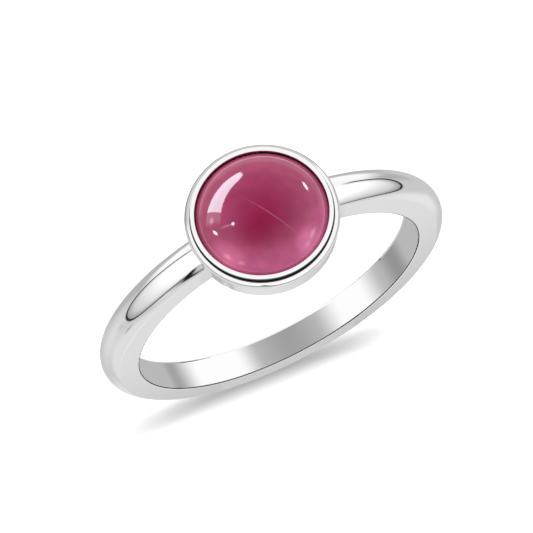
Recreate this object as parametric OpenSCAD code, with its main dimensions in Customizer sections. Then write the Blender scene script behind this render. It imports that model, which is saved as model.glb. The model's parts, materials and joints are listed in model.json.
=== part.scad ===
// Ring with a round domed ruby held in a plain bezel.
// It is drawn upright first, with the finger hole along Y and the stone on top,
// and is then laid on its side, as it comes to rest by itself on a table.

/* [Band] */
// Inside diameter of the finger hole
finger_d = 16.5; // [16:0.1:18]
// Thickness of the band opposite the stone
thickness_palm = 1.6; // [1.4:0.05:2]
// Thickness of the band under the stone
thickness_head = 1.95; // [1.8:0.05:2.2]
// Width of the band opposite the stone
width_palm = 1.75; // [1.5:0.05:1.9]
// Width of the band under the stone
width_head = 1.9; // [1.5:0.05:1.9]
// Radius of the dome across the outside of the band
dome_r = 0.98; // [0.98:0.02:2]

/* [Stone] */
// Diameter of the stone at its girdle
stone_d = 7; // [6.9:0.05:7.1]
// Radius of the round dome of the stone
stone_dome_r = 4; // [4:0.05:4.2]
// Height of the straight foot of the stone below its dome
stone_foot = 0.79; // [0.7:0.01:0.9]
// Width of the bevel around the underside of the stone
stone_bevel = 0.25; // [0.1:0.05:0.4]
// Gap between the stone and the metal
stone_gap = 0.04; // [0.03:0.01:0.06]

/* [Bezel] */
// Height of the underside of the cup above the finger hole
cup_lift = 0.17; // [0.12:0.01:0.3]
// Thickness of the metal under the stone
floor_t = 0.5; // [0.4:0.05:0.6]
// Outside radius of the cup at its foot
cup_foot_r = 3.72; // [3.6:0.01:3.72]
// Outside radius of the cup at the top of its straight wall
cup_r = 3.94; // [3.94:0.01:4]
// Height of the straight wall of the cup
wall_h = 1.3; // [1.25:0.01:1.35]
// Radius of the round shoulder above the wall
shoulder_r = 0.355; // [0.34:0.005:0.37]
// Radius of the round bead that holds the stone
bead_r = 0.19; // [0.17:0.01:0.21]
// Angle from the top of the stone's dome at which the bead holds it
hold_angle = 56.2; // [55.5:0.1:57]
// How far the bead is pressed flat against the stone
bead_bite = 0.02; // [0.01:0.01:0.03]

/* [Hidden] */
$fn = 128;

// Upright heights are measured from the middle of the finger hole
finger_r = finger_d / 2;
crown_shift = (thickness_head - thickness_palm) / 2;
crown_r = finger_r + (thickness_head + thickness_palm) / 2;
dome_centre_r = crown_r - dome_r;
wedge_slope = (width_head - width_palm) / 4 / crown_r;

foot_z = finger_r + cup_lift;
seat_z = foot_z + floor_t;
wall_top_z = foot_z + wall_h;
wall_slope = atan((cup_r - cup_foot_r) / wall_h);
shoulder_x = cup_r - shoulder_r * cos(wall_slope);
shoulder_z = wall_top_z + shoulder_r * sin(wall_slope);

stone_r = stone_d / 2;
stone_base_z = seat_z + stone_gap;
girdle_z = stone_base_z + stone_foot;
dome_z = girdle_z - sqrt(stone_dome_r ^ 2 - stone_r ^ 2);
bead_reach = stone_dome_r + stone_gap + bead_r - bead_bite;
bead_x = bead_reach * sin(hold_angle);
bead_z = dome_z + bead_reach * cos(hold_angle);

// On its side the ring touches the table with the shoulder of the cup and, opposite the stone,
// with the outer edge of the side face. Both points are level at this angle.
palm_half_w = width_palm / 2;
palm_edge_z = dome_centre_r - crown_shift + sqrt(dome_r ^ 2 - palm_half_w ^ 2);
lever_x = shoulder_x - palm_half_w;
lever_z = shoulder_z + palm_edge_z;
rest_tilt = acos(-shoulder_r / norm([lever_x, lever_z])) - atan2(lever_z, lever_x);
rest_height = palm_half_w * cos(rest_tilt) + palm_edge_z * sin(rest_tilt);

// The origin is on the table, under the middle of the laid ring
back_y = (dome_centre_r - crown_shift) * cos(rest_tilt) + dome_r;
front_y = dome_z * cos(rest_tilt) + stone_dome_r;
rest_y = (front_y - back_y) / 2;

// Longer than any cut through the ring
through = 4 * finger_r;

// Moves an upright piece to where it lies on the table
module laid() {
    translate([0, rest_y, rest_height]) rotate([90 - rest_tilt, 0, 0]) children();
}

// Disc with the dome of the band's outside around its edge, thicker towards the head
module domed_disc() {
    translate([0, 0, crown_shift]) rotate([90, 0, 0]) rotate_extrude() {
        translate([dome_centre_r, 0]) intersection() {
            circle(r = dome_r);
            translate([0, -dome_r]) square([dome_r, 2 * dome_r]);
        }
        translate([0, -dome_r]) square([dome_centre_r, 2 * dome_r]);
    }
}

// Slab between the two side faces, a little wider at the head than opposite it
module side_wedge() {
    reach = through / 2;
    mid_half_w = (width_head + width_palm) / 4;
    low = mid_half_w - wedge_slope * reach;
    high = mid_half_w + wedge_slope * reach;
    rotate([90, 0, 90]) linear_extrude(height = through, center = true)
        polygon([[-low, -reach], [low, -reach], [high, reach], [-high, reach]]);
}

// Cup of the bezel as a solid block of revolution, before the stone's pocket is cut
module cup_block() {
    rotate_extrude() {
        polygon([
            [0, foot_z],
            [cup_foot_r, foot_z],
            [cup_r, wall_top_z],
            [shoulder_x, shoulder_z],
            [0, shoulder_z]
        ]);
        translate([shoulder_x, shoulder_z]) circle(r = shoulder_r);
    }
}

// Round bead folded over the edge of the stone
module bead() {
    rotate_extrude() translate([bead_x, bead_z]) circle(r = bead_r);
}

// Outline of the stone made larger by a gap, with a bevel under its foot
module stone_shape(gap, bevel) {
    r = stone_r + gap;
    top_r = stone_dome_r + gap;
    rotate_extrude() {
        intersection() {
            translate([0, dome_z]) circle(r = top_r);
            translate([0, girdle_z]) square([r, top_r]);
        }
        polygon([
            [0, stone_base_z - gap],
            [r - bevel, stone_base_z - gap],
            [r, stone_base_z - gap + bevel],
            [r, girdle_z],
            [0, girdle_z]
        ]);
    }
}

module finger_hole() {
    rotate([90, 0, 0]) cylinder(r = finger_r, h = through, center = true);
}

// Band and bezel, soldered into one piece of metal
module band_and_bezel() {
    color("gainsboro") laid() difference() {
        union() {
            intersection() {
                domed_disc();
                side_wedge();
            }
            cup_block();
            bead();
        }
        finger_hole();
        stone_shape(stone_gap, 0);
    }
}

// The stone, loose in its cup by the gap
module ruby_cabochon() {
    color([0.66, 0.17, 0.36]) laid() stone_shape(0, stone_bevel);
}

band_and_bezel();
ruby_cabochon();
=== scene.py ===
"""Looks of a ruby ring: a polished band with a bezel, and the domed stone that the bezel holds.

Shapes are worked out in the ring's own millimetres: x to the side, f along the finger,
and s towards the stone, all measured from the middle of the finger hole. A pair named as
a limit holds the two values between which a tone or colour changes softly.
"""
import json
import math
from collections import namedtuple

import bmesh
import bpy
from mathutils import Matrix, Vector


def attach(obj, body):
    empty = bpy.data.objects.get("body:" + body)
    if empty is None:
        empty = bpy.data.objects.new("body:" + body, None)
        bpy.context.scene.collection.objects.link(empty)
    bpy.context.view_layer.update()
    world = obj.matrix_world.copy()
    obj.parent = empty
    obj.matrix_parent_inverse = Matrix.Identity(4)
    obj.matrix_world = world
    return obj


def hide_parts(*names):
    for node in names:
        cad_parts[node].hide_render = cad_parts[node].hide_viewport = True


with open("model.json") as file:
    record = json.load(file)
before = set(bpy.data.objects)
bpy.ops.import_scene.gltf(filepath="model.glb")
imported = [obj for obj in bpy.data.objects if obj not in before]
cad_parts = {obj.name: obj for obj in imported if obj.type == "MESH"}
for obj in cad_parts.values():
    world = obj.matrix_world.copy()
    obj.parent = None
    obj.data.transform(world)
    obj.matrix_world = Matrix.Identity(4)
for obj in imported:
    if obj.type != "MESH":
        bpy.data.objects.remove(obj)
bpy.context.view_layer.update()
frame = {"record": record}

MM = 0.001
FINGER_HOLE = frame["record"]["mounts"][0]
FINGER_AXIS = Vector(FINGER_HOLE["axis"]).normalized()

# Band, in millimetres
FINGER_R = FINGER_HOLE["dims"]["r_mm"]
THICKNESS_PALM = 1.6
THICKNESS_HEAD = 1.95
WIDTH_PALM = 1.75
WIDTH_HEAD = 1.9
DOME_R = 0.98
RIDGE_ROUND = 0.12
INNER_EDGE_ROUND = 0.09
BORE_EDGE_STRIP = 0.01
BORE_TILT = math.radians(2)
BAND_STEPS = 320
DOME_STEPS = 24
RIDGE_STEPS = 8
INNER_EDGE_STEPS = 6

# Bezel, with radii from the stone's axis and heights along s
FOOT_Z = FINGER_R + 0.17
FLOOR_Z = FOOT_Z + 0.5
WALL_TOP_Z = FOOT_Z + 1.3
CUP_FOOT_R = 3.77
CUP_R = 3.94
SHOULDER_R = 0.355
SHOULDER_END = math.radians(48)
RIM_OUTER = Vector((3.575, 10.265))
RIM_OUTER_ROUND = 0.06
RIM_INNER = Vector((3.44, 10.25))
RIM_INNER_ROUND = 0.045
FLANK_R = RIM_OUTER.x + RIM_OUTER_ROUND
FOOT_ROUND = 0.12
CUP_SPACE_TOP = FOOT_Z + 2.4
LATHE_STEPS = 360
FOOT_STEPS = 8
SHOULDER_STEPS = 24
RIM_STEPS = 10

# Stone
STONE_R = 3.5
STONE_GAP = 0.04
STONE_DOME_R = 4.1
STONE_BASE_Z = FLOOR_Z + STONE_GAP
STONE_HEIGHT = 2.853
DOME_Z = STONE_BASE_Z + STONE_HEIGHT - STONE_DOME_R
GIRDLE_Z = DOME_Z + math.sqrt(STONE_DOME_R ** 2 - STONE_R ** 2)
STONE_BEVEL = 0.25
GIRDLE_ROUND = 0.05
STONE_DOME_STEPS = 48

# Camera, at the photograph's angle to the ring: angles are in degrees, and the lens is in millimetres
CAMERA_AIM = Vector((-0.208, 0.330, 1.291)) * MM
CAMERA_AZIMUTH = 8.09
CAMERA_ELEVATION = 30.60
CAMERA_DISTANCE = 165 * MM
CAMERA_ROLL = 150.41
CAMERA_LENS = 209.17
CAMERA_CLIP_START = 10 * MM

# Floor, and the light that only the floor gets, in metres and watts
FLOOR_HALF_SIZE = 1.5
FLOOR_COLOUR = (0.45, 0.45, 0.45, 1)
SOFT_LIGHT_SIZE = 0.45
SOFT_LIGHT_HEIGHT = 0.5
SOFT_LIGHT_POWER = 6.7

# Card that throws the soft streak of shadow behind the band, with its sizes in millimetres
CARD_CENTRE = Vector((0.93, 14.13, 3.72)) * MM
CARD_HALF_LENGTHS = (10.0, 11.6)
CARD_REACH_OUT = 0.35
CARD_REACH_IN = 2.4
CARD_TAPER = 1.5
CARD_TURN = math.radians(-8.2)
CARD_STEPS = 24

# Clear films near both ends of the finger hole, in millimetres from its middle
FILM_BACK = 0.75
FILM_FRONT = 0.96
FILM_FRONT_R = 7.2
FILM_OVERLAP = 0.02
FILM_STEPS = 96

Run = namedtuple("Run", "points normals")


# Ring's own axes
def ring_to_row():
    """Matrix from the ring's own millimetres to the frame's metres."""
    side = Vector((1, 0, 0))
    stone = side.cross(FINGER_AXIS)
    turn = Matrix((side, FINGER_AXIS, stone)).transposed().to_4x4()
    return Matrix.Translation(FINGER_HOLE["pos_m"]) @ turn @ Matrix.Scale(MM, 4)


TO_ROW = ring_to_row()


# Outlines
def polar(angle):
    """Direction at an angle in an outline's plane."""
    return Vector((math.cos(angle), math.sin(angle)))


def arc(centre, radius, start, end, steps):
    """Points and outward normals of an arc in an outline's plane."""
    angles = [start + (end - start) * i / steps for i in range(steps + 1)]
    normals = [polar(a) for a in angles]
    return Run([Vector(centre) + radius * n for n in normals], normals)


def inward(run):
    """The same arc seen from its hollow side."""
    return Run(run.points, [-n for n in run.normals])


def line(start, end, normal, steps=1):
    """Points and one shared normal of a straight stretch."""
    start, end = Vector(start), Vector(end)
    points = [start.lerp(end, i / steps) for i in range(steps + 1)]
    return Run(points, [Vector(normal).normalized()] * (steps + 1))


def shared_normal(centre_a, radius_a, centre_b, radius_b):
    """Angle of the normal of the straight line that touches two circles on their upper side."""
    between = Vector(centre_b) - Vector(centre_a)
    return angle_of(between) - math.acos((radius_a - radius_b) / between.length)


def angle_of(vector):
    """Angle of a direction in an outline's plane."""
    return math.atan2(vector.y, vector.x)


# Meshes
WELD_DISTANCE = 1e-5


def new_grid_mesh():
    """Empty mesh whose corners can carry their true normals."""
    bm = bmesh.new()
    return bm, bm.loops.layers.float_vector.new("surface_normal")


def add_strip(bm, layer, rows):
    """Adds faces between rows of (place, normal), each row closed on itself."""
    count = len(rows[0])
    verts = [[bm.verts.new(place) for place, _ in row] for row in rows]
    for r in range(len(rows) - 1):
        for i in range(count):
            corners = ((r, i), (r, (i + 1) % count), (r + 1, (i + 1) % count), (r + 1, i))
            face = bm.faces.new([verts[a][b] for a, b in corners])
            face.smooth = True
            for loop, (a, b) in zip(face.loops, corners):
                loop[layer] = rows[a][b][1]


def weld(bm):
    """Joins the corners that share a place."""
    bmesh.ops.remove_doubles(bm, verts=bm.verts, dist=WELD_DISTANCE)


def to_mesh(name, bm):
    """Turns a working mesh into a mesh of the scene."""
    mesh = bpy.data.meshes.new(name)
    bm.to_mesh(mesh)
    bm.free()
    return mesh


def add_object(name, data):
    """Puts a mesh, light or camera into the scene."""
    obj = bpy.data.objects.new(name, data)
    bpy.context.scene.collection.objects.link(obj)
    return obj


def closed_object(name, bm):
    """Joins the strips of a mesh into one closed skin and makes an object of it."""
    weld(bm)
    if bm.calc_volume(signed=True) < 0:
        bmesh.ops.reverse_faces(bm, faces=bm.faces)
    return add_object(name, to_mesh(name, bm))


def lathe(name, runs):
    """Turns an outline of (radius, s) about the stone's axis."""
    bm, layer = new_grid_mesh()
    angles = [2 * math.pi * i / LATHE_STEPS for i in range(LATHE_STEPS)]
    for run in runs:
        rows = []
        for point, normal in zip(run.points, run.normals):
            rows.append([
                (
                    Vector((point.x * math.cos(a), point.x * math.sin(a), point.y)),
                    Vector((normal.x * math.cos(a), normal.x * math.sin(a), normal.y)),
                )
                for a in angles
            ])
        add_strip(bm, layer, rows)
    return closed_object(name, bm)


def cut_away(target, other):
    """Cuts a closed mesh out of another one, and removes the one that cuts."""
    modifier = target.modifiers.new("cut", "BOOLEAN")
    modifier.object = other
    modifier.operation = "DIFFERENCE"
    modifier.solver = "EXACT"
    depsgraph = bpy.context.evaluated_depsgraph_get()
    mesh = bpy.data.meshes.new_from_object(target.evaluated_get(depsgraph))
    target.modifiers.clear()
    target.data = mesh
    bpy.data.objects.remove(other)


def apply_surface_normals(obj):
    """Shades a mesh with the true normals that its corners carry."""
    mesh = obj.data
    carried = mesh.attributes["surface_normal"].data
    normals = [Vector(corner.vector).normalized() for corner in carried]
    mesh.normals_split_custom_set(normals)
    mesh.attributes.remove(mesh.attributes["surface_normal"])


def finish_piece(obj, node, material):
    """Lays a piece out as the frame has it, gives it its material, and hides the part of the model that it
    takes the place of.
    """
    obj.data.transform(TO_ROW)
    obj.data.materials.clear()
    obj.data.materials.append(material)
    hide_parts(node)
    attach(obj, "root")


# Band
def band_section(phi):
    """Closed outline across the band at one angle round it, as (place, normal) pairs."""
    shift = (THICKNESS_HEAD - THICKNESS_PALM) / 2
    dome_centre = FINGER_R + (THICKNESS_HEAD + THICKNESS_PALM) / 2 - DOME_R
    crown_r = dome_centre + DOME_R
    middle_w = (WIDTH_HEAD + WIDTH_PALM) / 4
    slope = (WIDTH_HEAD - WIDTH_PALM) / 4 / crown_r
    out = Vector((math.sin(phi), 0, math.cos(phi)))
    centre = Vector((0, 0, shift))

    def half_width(t):
        return middle_w + slope * (shift + t * math.cos(phi))

    w = half_width(dome_centre)
    ridge_r = dome_centre + math.sqrt((DOME_R - RIDGE_ROUND) ** 2 - (w - RIDGE_ROUND) ** 2)
    ridge_turn = math.atan2(w - RIDGE_ROUND, ridge_r - dome_centre)
    dome = arc((dome_centre, 0), DOME_R, 0, ridge_turn, DOME_STEPS)
    ridge = arc((ridge_r, w - RIDGE_ROUND), RIDGE_ROUND, ridge_turn, math.pi / 2, RIDGE_STEPS)
    half = list(zip(dome.points, dome.normals)) + list(zip(ridge.points, ridge.normals))[1:]
    pairs = []
    for point, normal in half:
        pairs.append((centre + out * point.x + Vector((0, point.y, 0)),
                      out * normal.x + Vector((0, normal.y, 0))))

    bore_t = -shift * math.cos(phi) + math.sqrt(FINGER_R ** 2 - (shift * math.sin(phi)) ** 2)
    bore_place = centre + out * bore_t
    bore_out = bore_place.normalized()
    inner_w = half_width(bore_t)
    for i in range(INNER_EDGE_STEPS + 1):
        turn = math.pi / 2 * i / INNER_EDGE_STEPS
        r = FINGER_R + INNER_EDGE_ROUND * (1 - math.sin(turn))
        f = inner_w - INNER_EDGE_ROUND * (1 - math.cos(turn))
        pairs.append((bore_out * r + Vector((0, f, 0)),
                      Vector((0, math.cos(turn), 0)) - bore_out * math.sin(turn)))

    def mirrored(pair):
        place, normal = pair
        return Vector((place.x, -place.y, place.z)), Vector((normal.x, -normal.y, normal.z))

    bore_normal = Vector((0, math.sin(BORE_TILT), 0)) - bore_out * math.cos(BORE_TILT)
    edge = Vector((0, inner_w - INNER_EDGE_ROUND - BORE_EDGE_STRIP, 0))
    bore = [(bore_out * FINGER_R + edge, bore_normal), (bore_out * FINGER_R - edge, bore_normal)]
    return pairs + bore + [mirrored(pair) for pair in reversed(pairs[1:])]


def make_band():
    """Whole band as a closed ring, before the bezel's room is cut out of it."""
    bm, layer = new_grid_mesh()
    rows = [band_section(2 * math.pi * i / BAND_STEPS) for i in range(BAND_STEPS)]
    add_strip(bm, layer, rows + [rows[0]])
    return closed_object("band", bm)


# Bezel
def cup_outline():
    """Outline of the bezel's cup, from the middle of its underside round to the middle of its floor."""
    slope = math.atan((CUP_R - CUP_FOOT_R) / (WALL_TOP_Z - FOOT_Z))
    out = polar(-slope)
    wall_top = Vector((CUP_R, WALL_TOP_Z))
    foot_cut = FOOT_ROUND * math.tan((math.pi / 2 - slope) / 2)
    foot_centre = Vector((CUP_FOOT_R - foot_cut, FOOT_Z + FOOT_ROUND))
    shoulder = wall_top - out * SHOULDER_R
    ledge = shoulder + polar(SHOULDER_END) * SHOULDER_R
    top_turn = shared_normal(RIM_OUTER, RIM_OUTER_ROUND, RIM_INNER, RIM_INNER_ROUND)
    top_turn %= 2 * math.pi
    top = polar(top_turn)
    mouth_r = RIM_INNER.x - RIM_INNER_ROUND
    dome_centre = Vector((0, DOME_Z))
    pocket_dome_r = STONE_DOME_R + STONE_GAP
    pocket_r = STONE_R + STONE_GAP
    mouth = Vector((mouth_r, DOME_Z + math.sqrt(pocket_dome_r ** 2 - mouth_r ** 2)))
    pocket_top = Vector((pocket_r, DOME_Z + math.sqrt(pocket_dome_r ** 2 - pocket_r ** 2)))
    return [
        line((0, FOOT_Z), (foot_centre.x, FOOT_Z), (0, -1), 3),
        arc(foot_centre, FOOT_ROUND, -math.pi / 2, -slope, FOOT_STEPS),
        line(foot_centre + out * FOOT_ROUND, wall_top, out, 4),
        arc(shoulder, SHOULDER_R, -slope, SHOULDER_END, SHOULDER_STEPS),
        line(ledge, (FLANK_R, ledge.y), (0, 1)),
        line((FLANK_R, ledge.y), (FLANK_R, RIM_OUTER.y), (1, 0)),
        arc(RIM_OUTER, RIM_OUTER_ROUND, 0, top_turn, RIM_STEPS),
        line(RIM_OUTER + top * RIM_OUTER_ROUND, RIM_INNER + top * RIM_INNER_ROUND, top, 2),
        arc(RIM_INNER, RIM_INNER_ROUND, top_turn, math.pi, RIM_STEPS),
        line((mouth_r, RIM_INNER.y), mouth, (-1, 0)),
        inward(arc(dome_centre, pocket_dome_r, angle_of(mouth - dome_centre),
                   angle_of(pocket_top - dome_centre), 4)),
        line(pocket_top, (pocket_r, FLOOR_Z), (-1, 0), 3),
        line((pocket_r, FLOOR_Z), (0, FLOOR_Z), (0, 1), 3),
    ]


def filled(outline):
    """Outer side of a cup's outline, closed straight across its top."""
    edge = outline[4].points[0]
    upper = Vector((edge.x, CUP_SPACE_TOP))
    return outline[:4] + [line(edge, upper, (1, 0)), line(upper, (0, upper.y), (0, 1))]


def make_metal():
    """Band and bezel, as two pieces that meet face to face where they are soldered."""
    material = metal_material()
    band = make_band()
    cut_away(band, lathe("cup_space", filled(cup_outline())))
    apply_surface_normals(band)
    finish_piece(band, "band_and_bezel", material)
    bezel = lathe("bezel", cup_outline())
    apply_surface_normals(bezel)
    finish_piece(bezel, "band_and_bezel", material)


# Stone
def stone_outline():
    """Outline of the stone, from the middle of its base round to the top of its dome."""
    dome_centre = Vector((0, DOME_Z))
    round_centre_r = STONE_R - GIRDLE_ROUND
    round_z = DOME_Z + math.sqrt((STONE_DOME_R - GIRDLE_ROUND) ** 2 - round_centre_r ** 2)
    girdle = Vector((round_centre_r, round_z))
    girdle_turn = angle_of(girdle - dome_centre)
    inner_r = STONE_R - STONE_BEVEL
    return [
        line((0, STONE_BASE_Z), (inner_r, STONE_BASE_Z), (0, -1), 3),
        line((inner_r, STONE_BASE_Z), (STONE_R, STONE_BASE_Z + STONE_BEVEL), (1, -1), 2),
        line((STONE_R, STONE_BASE_Z + STONE_BEVEL), (STONE_R, round_z), (1, 0), 4),
        arc(girdle, GIRDLE_ROUND, 0, girdle_turn, 6),
        arc(dome_centre, STONE_DOME_R, girdle_turn, math.pi / 2, STONE_DOME_STEPS),
    ]


def make_stone():
    """Domed stone in its pocket, with an even gap all round."""
    stone = lathe("ruby_dome", stone_outline())
    apply_surface_normals(stone)
    finish_piece(stone, "ruby_cabochon", ruby_material())


# Colours inside the stone. A zone or spot is an ellipse seen from above: its middle (x, f), half length,
# half width, turn in degrees, the share of its radius from which it fades, its strength and its colour.
RUBY_BODY = (0.42, 0.078, 0.155, 1)
# Painted light: the pinker colour along the stone's upper edge
RUBY_PAINTED_GLOW = (0.68, 0.135, 0.31, 1)
RUBY_ZONES = (
    ((0.1, 0.1), 3.1, 3.0, 0, 0.25, 1, (0.345, 0.030, 0.110, 1)),
    ((0.4, 0.95), 2.3, 1.7, 27, 0.0, 1, (0.305, 0.005, 0.058, 1)),
)
# Painted light inside the stone: two broad glows and four small sparkles near its edge, then its own thin
# pale silk line
RUBY_PAINTED_LIGHTS_AND_SILK = (
    ((2.6, 1.6), 1.5, 0.8, 120, 0.0, 1, (0.78, 0.185, 0.355, 1)),
    ((-1.35, 2.6), 1.3, 0.7, 30, 0.0, 1, (0.86, 0.225, 0.44, 1)),
    ((2.62, 1.45), 0.34, 0.14, 118, 0.1, 0.8, (1.00, 0.36, 0.50, 1)),
    ((2.15, 2.1), 0.30, 0.12, 140, 0.1, 0.7, (1.00, 0.33, 0.46, 1)),
    ((-1.7, 2.35), 0.45, 0.13, 40, 0.1, 0.8, (0.98, 0.46, 0.62, 1)),
    ((-1.25, 2.7), 0.32, 0.12, 25, 0.1, 0.7, (0.98, 0.44, 0.60, 1)),
    # The stone's own thin pale silk line
    ((-0.255, 0.985), 2.3, 0.06, 121, 0.1, 0.35, (0.55, 0.20, 0.33, 1)),
)
# Painted light along the stone's upper edge: radius, and f as a share of the radius
PAINTED_GLOW_RADIUS_LIMIT = (1.9, 3.4)
PAINTED_GLOW_SIDE_LIMIT = (-0.1, 0.8)
CLOUD_SCALE = 1400
CLOUD_DETAIL = 4
CLOUD_LIMIT = (0.3, 0.7)
CLOUD_STRENGTH = (0.92, 1.08)
RUBY_IOR = 1.76


# Metal
METAL_COLOUR = (0.955, 0.955, 0.957, 1)
# Painted shade: greyer metal for the shoulder's side that faces the table
SHADED_METAL_COLOUR = (0.611, 0.611, 0.612, 1)
# Near-black painted shade for the seam round the stone and the groove outside the rim
PAINTED_SHADE_COLOUR = (0.012, 0.010, 0.010, 1)
# Painted shade in the seam round the stone: distance from the centre of its dome's curve, and the height
# where the seam ends
SEAM_DOME_LIMIT = (STONE_DOME_R + 0.05, STONE_DOME_R + 0.075)
SEAM_FOOT_LIMIT = (GIRDLE_Z - 0.15, GIRDLE_Z - 0.1)
# Painted shade in the groove outside the rim: distance from the stone's axis, and heights
GROOVE_INNER_LIMIT = (FLANK_R - 0.012, FLANK_R - 0.006)
GROOVE_OUTER_LIMIT = (FLANK_R + 0.035, FLANK_R + 0.06)
GROOVE_LOW_LIMIT = (WALL_TOP_Z + 0.3, WALL_TOP_Z + 0.308)
GROOVE_HIGH_LIMIT = (RIM_OUTER.y - 0.01, RIM_OUTER.y + 0.03)
# Painted shade on the shoulder that faces the table: distance from the stone's axis, height, and f as a
# share of that distance
SHOULDER_INNER_LIMIT = (3.7, 3.73)
SHOULDER_LOW_LIMIT = (WALL_TOP_Z, WALL_TOP_Z + 0.06)
SHOULDER_SIDE_LIMIT = (-0.2, -0.4)
# Polish: finer in the finger hole, and coarser where the band was soldered to the bezel
HOLE_ROUGHNESS = 0.045
OUTSIDE_ROUGHNESS = 0.05
SOLDER_ROUGHNESS = 0.16
HOLE_LIMIT = (FINGER_R + 0.01, FINGER_R + 0.06)
SOLDER_LIMIT = (CUP_R + 0.1, CUP_R + 0.4)
SOLDER_HIGH_LIMIT = (WALL_TOP_Z + 0.1, WALL_TOP_Z + 0.3)


# Shader nodes
class Wiring:
    """Adds nodes to a shader tree, so that a formula reads as a formula."""

    def __init__(self, tree):
        self.tree = tree
        self.tree.nodes.clear()

    def add(self, kind, **settings):
        """New node with its settings."""
        node = self.tree.nodes.new(kind)
        for name, value in settings.items():
            setattr(node, name, value)
        return node

    def feed(self, socket, value):
        """Links another node's output to a socket, or sets the socket to a fixed value."""
        if isinstance(value, bpy.types.NodeSocket):
            self.tree.links.new(value, socket)
        else:
            socket.default_value = value

    def math(self, operation, *values):
        node = self.add("ShaderNodeMath", operation=operation)
        for socket, value in zip(node.inputs, values):
            self.feed(socket, value)
        return node.outputs[0]

    def product(self, first, *others):
        for other in others:
            first = self.math("MULTIPLY", first, other)
        return first

    def length(self, *sides):
        """Square root of the sum of the squares."""
        total = None
        for side in sides:
            square = self.math("MULTIPLY", side, side)
            total = square if total is None else self.math("ADD", total, square)
        return self.math("SQRT", total)

    def dot(self, a, b):
        node = self.add("ShaderNodeVectorMath", operation="DOT_PRODUCT")
        self.feed(node.inputs[0], a)
        self.feed(node.inputs[1], b)
        return node.outputs["Value"]

    def fade(self, value, low, high, start=0.0, end=1.0):
        """Goes smoothly from start to end while value goes from low to high."""
        node = self.add("ShaderNodeMapRange", interpolation_type="SMOOTHSTEP")
        for socket, v in zip(node.inputs, (value, low, high, start, end)):
            self.feed(socket, v)
        return node.outputs[0]

    def blend(self, share, a, b):
        """Mixes two numbers, a where share is 0 and b where it is 1."""
        node = self.add("ShaderNodeMix", data_type="FLOAT")
        for socket, v in zip((node.inputs[0], node.inputs[2], node.inputs[3]), (share, a, b)):
            self.feed(socket, v)
        return node.outputs[0]

    def blend_colour(self, share, a, b):
        """Mixes two colours, a where share is 0 and b where it is 1."""
        node = self.add("ShaderNodeMix", data_type="RGBA")
        for socket, v in zip((node.inputs[0], node.inputs[6], node.inputs[7]), (share, a, b)):
            self.feed(socket, v)
        return node.outputs[2]


def new_material(name, kind="ShaderNodeBsdfPrincipled"):
    """Material with one shader, and the means to wire it."""
    material = bpy.data.materials.new(name)
    material.use_nodes = True
    wiring = Wiring(material.node_tree)
    shader = wiring.add(kind)
    output = wiring.add("ShaderNodeOutputMaterial")
    wiring.feed(output.inputs["Surface"], shader.outputs[0])
    return material, wiring, shader


def ring_coordinates(wiring):
    """Ring's own x, f and s of a point, in millimetres."""
    place = wiring.add("ShaderNodeTexCoord").outputs["Object"]
    to_ring = TO_ROW.inverted()
    shifted = []
    for row in range(3):
        along = wiring.dot(place, tuple(to_ring[row][:3]))
        shifted.append(wiring.math("ADD", along, to_ring[row][3]))
    return shifted


def metal_material():
    """Polished white metal, with near-black painted shade in the seam round the stone and in the groove,
    and greyer painted shade on the shoulder towards the table.
    """
    material, wiring, shader = new_material("polished_white_metal")
    x, f, s = ring_coordinates(wiring)
    finger_distance = wiring.length(x, s)
    radial = wiring.length(x, f)
    dome_distance = wiring.length(x, f, wiring.math("SUBTRACT", s, DOME_Z))

    # Painted shade: near black in the seam round the stone and in the groove outside the rim
    clear_of_stone = wiring.fade(dome_distance, *SEAM_DOME_LIMIT)
    below_seam = wiring.fade(s, *SEAM_FOOT_LIMIT, 1, 0)
    groove = wiring.product(
        wiring.fade(radial, *GROOVE_INNER_LIMIT),
        wiring.fade(radial, *GROOVE_OUTER_LIMIT, 1, 0),
        wiring.fade(s, *GROOVE_LOW_LIMIT),
        wiring.fade(s, *GROOVE_HIGH_LIMIT, 1, 0),
    )
    clear_of_seam_shade = wiring.product(wiring.math("MAXIMUM", clear_of_stone, below_seam),
                           wiring.math("SUBTRACT", 1, groove))
    # Painted shade: greyer on the shoulder's side towards the table
    shaded = wiring.product(
        wiring.fade(radial, *SHOULDER_INNER_LIMIT),
        wiring.fade(s, *SHOULDER_LOW_LIMIT),
        wiring.fade(wiring.math("DIVIDE", f, radial), *SHOULDER_SIDE_LIMIT),
    )
    colour = wiring.blend_colour(shaded, METAL_COLOUR, SHADED_METAL_COLOUR)
    wiring.feed(shader.inputs["Base Color"], wiring.blend_colour(clear_of_seam_shade, PAINTED_SHADE_COLOUR, colour))

    outside = wiring.fade(finger_distance, *HOLE_LIMIT)
    polish = wiring.blend(outside, HOLE_ROUGHNESS, OUTSIDE_ROUGHNESS)
    soldered = wiring.product(
        wiring.fade(radial, *SOLDER_LIMIT, 1, 0),
        wiring.fade(s, *SOLDER_HIGH_LIMIT, 1, 0),
        outside,
    )
    wiring.feed(shader.inputs["Roughness"], wiring.blend(soldered, polish, SOLDER_ROUGHNESS))
    shader.inputs["Metallic"].default_value = 1
    return material


def ellipse(wiring, x, f, centre, half_length, half_width, turn):
    """Distance from a spot's middle on the stone, 1 at the spot's edge."""
    turn = math.radians(turn)
    from_x = wiring.math("SUBTRACT", x, centre[0])
    from_f = wiring.math("SUBTRACT", f, centre[1])
    along = wiring.math("ADD", wiring.math("MULTIPLY", from_x, math.cos(turn) / half_length),
                        wiring.math("MULTIPLY", from_f, math.sin(turn) / half_length))
    across = wiring.math("ADD", wiring.math("MULTIPLY", from_x, -math.sin(turn) / half_width),
                         wiring.math("MULTIPLY", from_f, math.cos(turn) / half_width))
    return wiring.length(along, across)


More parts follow.
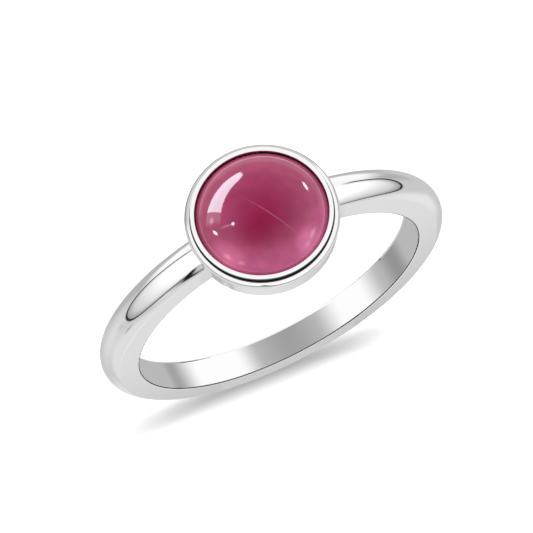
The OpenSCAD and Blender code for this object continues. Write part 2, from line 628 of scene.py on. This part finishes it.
def tinted(wiring, x, f, colour, spots):
    """Lays soft spots of other colours over the stone's colour."""
    for centre, half_length, half_width, turn, inner, share, tint in spots:
        distance = ellipse(wiring, x, f, centre, half_length, half_width, turn)
        colour = wiring.blend_colour(wiring.fade(distance, inner, 1, share, 0), colour, tint)
    return colour


def ruby_material():
    """Red stone with a darker heart, painted light along its upper edge, painted spots of light, a pale
    silk line and a faint cloud.
    """
    material, wiring, shader = new_material("ruby")
    x, f, _ = ring_coordinates(wiring)
    radius = wiring.length(x, f)
    colour = tinted(wiring, x, f, RUBY_BODY, RUBY_ZONES)
    # Painted light: a brighter pink along the stone's upper edge, standing in for light gathered inside it
    painted_glow = wiring.product(wiring.fade(radius, *PAINTED_GLOW_RADIUS_LIMIT),
                          wiring.fade(wiring.math("DIVIDE", f, radius), *PAINTED_GLOW_SIDE_LIMIT))
    colour = wiring.blend_colour(painted_glow, colour, RUBY_PAINTED_GLOW)
    # Painted light: glows and sparkles inside the stone, with its own silk line
    colour = tinted(wiring, x, f, colour, RUBY_PAINTED_LIGHTS_AND_SILK)
    cloud = wiring.add("ShaderNodeTexNoise")
    cloud.inputs["Scale"].default_value = CLOUD_SCALE
    cloud.inputs["Detail"].default_value = CLOUD_DETAIL
    wiring.feed(cloud.inputs["Vector"], wiring.add("ShaderNodeTexCoord").outputs["Object"])
    clouded = wiring.add("ShaderNodeVectorMath", operation="SCALE")
    wiring.feed(clouded.inputs[0], colour)
    wiring.feed(clouded.inputs["Scale"], wiring.fade(cloud.outputs[0], *CLOUD_LIMIT, *CLOUD_STRENGTH))
    wiring.feed(shader.inputs["Base Color"], clouded.outputs[0])
    shader.inputs["Roughness"].default_value = 0
    shader.inputs["IOR"].default_value = RUBY_IOR
    return material


# Studio that the metal and the stone mirror. A panel's angles are in degrees, its azimuth runs from
# +Y towards +X, and its power is 2 for an ellipse and higher for a squarer shape.
Panel = namedtuple("Panel", "azimuth elevation roll width height power")
ROOM = 0.60
# Plain surfaces of the studio: panel, brightness, soft from, soft to
SURFACES = (
    (Panel(0, -90, 0, 48, 48, 2), 0.48, 0.75, 1.1),
    (Panel(118, -54, 0, 26, 8, 2), 0.33, 0.3, 1.2),
    (Panel(-86, -30, 0, 26, 18, 2), 0.45, 0.4, 1.2),
    (Panel(-170, -50, 0, 62, 46, 3), 1.02, 0.75, 1.1),
    (Panel(0, 90, 0, 40, 40, 2), 0.92, 0.5, 1.2),
    (Panel(-175, 50, 0, 70, 30, 3), 0.98, 0.7, 1.1),
    (Panel(-175, 2, 0, 84, 60, 3), 0.97, 0.7, 1.1),
    (Panel(60, -12, 0, 34, 30, 2), 0.74, 0.1, 1.2),
    (Panel(3, 28, 0, 60, 26, 3), 0.76, 0.62, 1.1),
    (Panel(-40, 15, 0, 16, 26, 3), 0.82, 0.2, 1.15),
    (Panel(45, 68, 0, 28, 12, 2), 0.42, 0.5, 1.2),
    (Panel(57, 27, 0, 5, 6, 2), 0.46, 0.2, 1.2),
    (Panel(71, 1, 0, 5, 8, 2), 0.60, 0.2, 1.2),
    (Panel(-7, 2, 0, 11, 9, 4), 0.48, 0.88, 1.14),
    (Panel(6, 26, 0, 8, 10, 2), 1.05, 0.5, 1.1),
    (Panel(6, -20, 0, 10, 14, 2), 0.74, 0.4, 1.1),
    (Panel(2, -6, 0, 20, 12, 2), 0.79, 0.3, 1.2),
    (Panel(-9, -31, 0, 10, 12, 2), 0.44, 0.4, 1.2),
)
# Surfaces that only the finger hole's own metal mirrors
BORE_ROOM = 0.50
BORE_DARK = 0.015
BORE_DARK_LIMIT = (-0.12, 0.0)
BORE_SURFACES = (
    (Panel(126, -19, 0, 27, 60, 3), 1.03, 0.3, 1.2),
    (Panel(-122, -18, 0, 31, 60, 3), 1.03, 0.5, 1.15),
    (Panel(74, -24, 0, 16, 60, 2), 0.31, 0.1, 1.2),
    (Panel(-79, -24, 0, 8, 60, 2), 0.38, 0.1, 1.2),
    (Panel(180, -18, 0, 26, 20, 2), 0.29, 0.1, 1.2),
)
# Softboxes: distances are 1 at a box's edge, and places across a box run from -1 at its front side to 1
LEFT_BOX = Panel(118, 16, 9, 40, 52.5, 3)
RIGHT_BOX = Panel(-107, 49, 3, 37, 66, 3)
BOX_EDGE_LIMIT = (0.97, 1.03)
BOX_FAR_LIMIT = (0.25, 0.7)
BOX_LIMIT = (-0.95, 0.25)
BOX_POWER = (0.62, 1.15)
BOX_BORDER_LIMIT = (0.97, 0.72)
BOX_BORDER_SHARE = 0.62
# Dark frame round a softbox, thinner in the middle of its front side
FRAME_LIMIT = (0.022, 0.075)
FRAME_POWER = 0.012
FRAME_MIDDLE_LIMIT = (0.9, 0.5)
FRAME_FRONT_LIMIT = (0.0, -0.8)
FRAME_THINNING = -0.3

# Lights that show in the stone: panel, brightness, soft from
STONE_ROOM_FRONT = 0.15
STONE_ROOM_BACK = 0.48
STONE_ROOM_LIMIT = (-0.05, 0.1)
STONE_LIGHT_EDGE = 1.04
STONE_LIGHTS = (
    (Panel(112, -31, 0, 4.5, 4.5, 3), 3.0, 0.3),
    (Panel(132, -9, 26, 16, 2.2, 2), 1.6, 0.1),
    (Panel(110.6, -15.5, -23, 2.2, 6, 2), 14, 0.3),
    (Panel(139.9, -5.5, 0, 2.9, 2.9, 2), 14, 0.4),
    (Panel(-100, -21, 10, 2.7, 7, 2), 14, 0.3),
)
# Light that the stone's dome bends into a crescent: its sides are straight, and it narrows at one end.
# Each slanted side has its place along the panel at the panel's middle, its slope and its softness.
CRESCENT = Panel(137, -56, -42, 27, 11, 2)
CRESCENT_SLANTED_SIDES = ((0.97, 0.62, 0.22), (2.3, 2.25, 0.3))
CRESCENT_OUTER_LIMIT = (-1.0, -0.8)
CRESCENT_END_LIMITS = ((-1.45, -1.0), (1.12, 0.98))
CRESCENT_TAIL_LIMIT = (-0.81, -0.74)
CRESCENT_TAIL = 0.15
CRESCENT_POWER = 7.0
COOL_LIGHT = (0.82, 0.98, 1.06, 1)
PLAIN_LIGHT = 0.75
PLAIN_BACKDROP = 1.1


def panel_coordinates(wiring, direction, panel):
    """Place of a direction on a panel: its two coordinates and its distance, 1 at the panel's edge."""
    azimuth = math.radians(panel.azimuth)
    elevation = math.radians(panel.elevation)
    roll = math.radians(panel.roll)
    middle = Vector((math.sin(azimuth) * math.cos(elevation),
                     math.cos(azimuth) * math.cos(elevation), math.sin(elevation)))
    east = Vector((math.cos(azimuth), -math.sin(azimuth), 0))
    up = middle.cross(east) * -1
    if up.z < 0:
        up = -up
    across = east * math.cos(roll) + up * math.sin(roll)
    along = up * math.cos(roll) - east * math.sin(roll)
    depth = wiring.math("MAXIMUM", wiring.math("ADD", wiring.dot(direction, middle), 1), 0.001)
    half = [math.tan(math.radians(size / 2)) for size in (panel.width, panel.height)]
    places = []
    for axis, size in zip((across, along), half):
        flat = wiring.math("DIVIDE", wiring.dot(direction, axis), depth)
        places.append(wiring.math("DIVIDE", flat, size))
    powers = [wiring.math("POWER", wiring.math("ABSOLUTE", p), panel.power) for p in places]
    distance = wiring.math("POWER", wiring.math("ADD", *powers), 1 / panel.power)
    return places[0], places[1], distance


def plain_panel(wiring, direction, light, surface):
    """Adds one plain surface to the studio."""
    panel, value, soft_from, soft_to = surface
    distance = panel_coordinates(wiring, direction, panel)[2]
    return wiring.blend(wiring.fade(distance, soft_from, soft_to), value, light)


def softbox(wiring, direction, light, panel, front_side):
    """Adds a softbox, dimmer towards the front, with a dark frame all round but at the far side."""
    across, along, distance = panel_coordinates(wiring, direction, panel)
    from_front = wiring.math("MULTIPLY", across, -front_side)
    far = wiring.fade(from_front, *BOX_FAR_LIMIT)
    inside = wiring.fade(from_front, *BOX_LIMIT, *BOX_POWER)
    off_border = wiring.math("MAXIMUM", wiring.fade(distance, *BOX_BORDER_LIMIT), far)
    inside = wiring.product(inside, wiring.blend(off_border, BOX_BORDER_SHARE, 1.0))
    light = wiring.blend(wiring.fade(distance, *BOX_EDGE_LIMIT), inside, light)

    off_edge = wiring.math("ABSOLUTE", wiring.math("SUBTRACT", distance, 1))
    thinning = wiring.product(wiring.fade(wiring.math("ABSOLUTE", along), *FRAME_MIDDLE_LIMIT),
                              wiring.fade(from_front, *FRAME_FRONT_LIMIT, 0, FRAME_THINNING))
    frame_place = wiring.math("DIVIDE", off_edge, wiring.math("ADD", 1, thinning))
    off_frame = wiring.math("MAXIMUM", wiring.fade(frame_place, *FRAME_LIMIT), far)
    return wiring.blend(off_frame, FRAME_POWER, light)


def bore_studio(wiring, direction):
    """Brightness that the metal of the finger hole mirrors: dark above, and its own surfaces below."""
    light = BORE_ROOM
    for surface in BORE_SURFACES:
        light = plain_panel(wiring, direction, light, surface)
    along_finger = wiring.dot(direction, tuple(FINGER_AXIS))
    return wiring.blend(wiring.fade(along_finger, *BORE_DARK_LIMIT), light, BORE_DARK)


def mirrored_studio(wiring, direction):
    """Brightness that the outside of the metal mirrors in each direction."""
    light = ROOM
    for surface in SURFACES:
        light = plain_panel(wiring, direction, light, surface)
    light = softbox(wiring, direction, light, LEFT_BOX, -1)
    return softbox(wiring, direction, light, RIGHT_BOX, 1)


def crescent(wiring, direction, light):
    """Adds the large light that the stone shows as a crescent, with a dimmer tail past its straight end."""
    across, along, _ = panel_coordinates(wiring, direction, CRESCENT)
    inside = wiring.fade(along, *CRESCENT_OUTER_LIMIT)
    for middle, slope, soft in CRESCENT_SLANTED_SIDES:
        side = wiring.math("SUBTRACT", middle, wiring.math("MULTIPLY", across, slope))
        within = wiring.math("SUBTRACT", side, along)
        inside = wiring.product(inside, wiring.fade(within, -soft / 2, soft / 2))
    inside = wiring.product(inside, wiring.fade(across, *CRESCENT_TAIL_LIMIT, CRESCENT_TAIL, 1))
    for limit in CRESCENT_END_LIMITS:
        inside = wiring.product(inside, wiring.fade(across, *limit))
    return wiring.blend(inside, light, CRESCENT_POWER)


def stone_studio(wiring, direction):
    """Brightness that the sharply polished stone mirrors in each direction."""
    towards_back = wiring.dot(direction, (0, 1, 0))
    light = wiring.fade(towards_back, *STONE_ROOM_LIMIT, STONE_ROOM_FRONT, STONE_ROOM_BACK)
    for panel, value, inner in STONE_LIGHTS:
        distance = panel_coordinates(wiring, direction, panel)[2]
        light = wiring.blend(wiring.fade(distance, inner, STONE_LIGHT_EDGE), value, light)
    return crescent(wiring, direction, light)


def make_world():
    """Plain light and backdrop, and studios that only mirrored rays see, for the metal and the stone."""
    world = bpy.data.worlds.new("studio")
    bpy.context.scene.world = world
    world.use_nodes = True
    world.cycles.sampling_method = "NONE"
    wiring = Wiring(world.node_tree)
    direction = wiring.add("ShaderNodeTexCoord").outputs["Generated"]
    rays = wiring.add("ShaderNodeLightPath")
    sharp = rays.outputs["Is Singular Ray"]
    through_film = wiring.math("GREATER_THAN", rays.outputs["Transparent Depth"], 0.5)
    metal_sees = wiring.blend(through_film, mirrored_studio(wiring, direction),
                              bore_studio(wiring, direction))
    stone_sees = stone_studio(wiring, direction)
    plain = wiring.blend(rays.outputs["Is Camera Ray"], PLAIN_LIGHT, PLAIN_BACKDROP)
    brightness = wiring.blend(rays.outputs["Is Glossy Ray"], plain,
                              wiring.blend(sharp, metal_sees, stone_sees))
    mirrored_by_stone = wiring.math("MULTIPLY", sharp, rays.outputs["Is Glossy Ray"])
    background = wiring.add("ShaderNodeBackground")
    wiring.feed(background.inputs["Color"],
                wiring.blend_colour(mirrored_by_stone, (1, 1, 1, 1), COOL_LIGHT))
    wiring.feed(background.inputs["Strength"], brightness)
    output = wiring.add("ShaderNodeOutputWorld")
    wiring.feed(output.inputs["Surface"], background.outputs[0])


# Floor, films, light and camera
def hide_from(obj, *rays):
    """Keeps an object out of the sight of these kinds of rays."""
    for kind in rays:
        setattr(obj, "visible_" + kind, False)


def make_hole_films():
    """Clear films at both ends of the finger hole, which mark the rays that its metal mirrors."""
    bm = bmesh.new()
    angles = [2 * math.pi * i / FILM_STEPS for i in range(FILM_STEPS)]
    for inner_r, f in ((0, -FILM_BACK), (FILM_FRONT_R, FILM_FRONT)):
        inner, outer = [[bm.verts.new((r * math.cos(a), f, r * math.sin(a))) for a in angles]
                        for r in (inner_r, FINGER_R + FILM_OVERLAP)]
        for i in range(FILM_STEPS):
            j = (i + 1) % FILM_STEPS
            bm.faces.new((inner[i], inner[j], outer[j], outer[i]))
    weld(bm)
    mesh = to_mesh("hole_films", bm)
    mesh.transform(TO_ROW)
    mesh.materials.append(new_material("clear_film", "ShaderNodeBsdfTransparent")[0])
    films = add_object("hole_films", mesh)
    hide_from(films, "camera", "diffuse", "shadow")


def make_floor():
    """Pale floor that the ring doesn't mirror."""
    bm = bmesh.new()
    bmesh.ops.create_grid(bm, x_segments=1, y_segments=1, size=FLOOR_HALF_SIZE)
    mesh = to_mesh("floor", bm)
    material, _, shader = new_material("pale_floor")
    shader.inputs["Base Color"].default_value = FLOOR_COLOUR
    shader.inputs["Roughness"].default_value = 1
    shader.inputs["Specular IOR Level"].default_value = 0
    mesh.materials.append(material)
    floor = add_object("floor", mesh)
    hide_from(floor, "glossy")
    return floor


def make_shadow_card():
    """Unseen slim card behind the band, for the soft streak of shadow beside it."""
    steps = [2 * i / CARD_STEPS - 1 for i in range(CARD_STEPS + 1)]

    def corner(t, reach):
        return CARD_HALF_LENGTHS[t > 0] * t, reach * (1 - t * t) ** CARD_TAPER, 0

    corners = [corner(t, CARD_REACH_OUT) for t in steps]
    corners += [corner(t, -CARD_REACH_IN) for t in reversed(steps[1:-1])]
    mesh = bpy.data.meshes.new("shadow_card")
    mesh.from_pydata(corners, [], [range(len(corners))])
    mesh.transform(Matrix.Translation(CARD_CENTRE) @ Matrix.Rotation(CARD_TURN, 4, "Z")
                   @ Matrix.Scale(MM, 4))
    card = add_object("shadow_card", mesh)
    hide_from(card, "camera", "diffuse", "glossy")
    return card


def make_soft_light(floor, card):
    """Soft light straight above, which lights only the floor and is blocked only by the card."""
    data = bpy.data.lights.new("soft_light", "AREA")
    data.shape = "DISK"
    data.size = SOFT_LIGHT_SIZE
    data.energy = SOFT_LIGHT_POWER
    light = add_object("soft_light", data)
    light.location = (0, 0, SOFT_LIGHT_HEIGHT)
    for name, piece in (("receiver_collection", floor), ("blocker_collection", card)):
        group = bpy.data.collections.new("soft_light_" + name)
        group.objects.link(piece)
        setattr(light.light_linking, name, group)


def make_camera():
    """Camera that looks at the ring from above the floor, turned as the photograph shows it."""
    data = bpy.data.cameras.new("camera")
    data.lens = CAMERA_LENS
    data.clip_start = CAMERA_CLIP_START
    camera = add_object("camera", data)
    azimuth = math.radians(CAMERA_AZIMUTH)
    elevation = math.radians(CAMERA_ELEVATION)
    back = Vector((math.sin(azimuth) * math.cos(elevation),
                   -math.cos(azimuth) * math.cos(elevation), math.sin(elevation)))
    turn = back.to_track_quat("Z", "Y").to_matrix() @ Matrix.Rotation(math.radians(CAMERA_ROLL), 3, "Z")
    camera.matrix_world = Matrix.Translation(CAMERA_AIM + back * CAMERA_DISTANCE) @ turn.to_4x4()
    bpy.context.scene.camera = camera


bpy.context.scene.view_settings.view_transform = "Standard"
make_camera()
make_world()
floor = make_floor()
make_hole_films()
make_metal()
make_stone()
make_soft_light(floor, make_shadow_card())
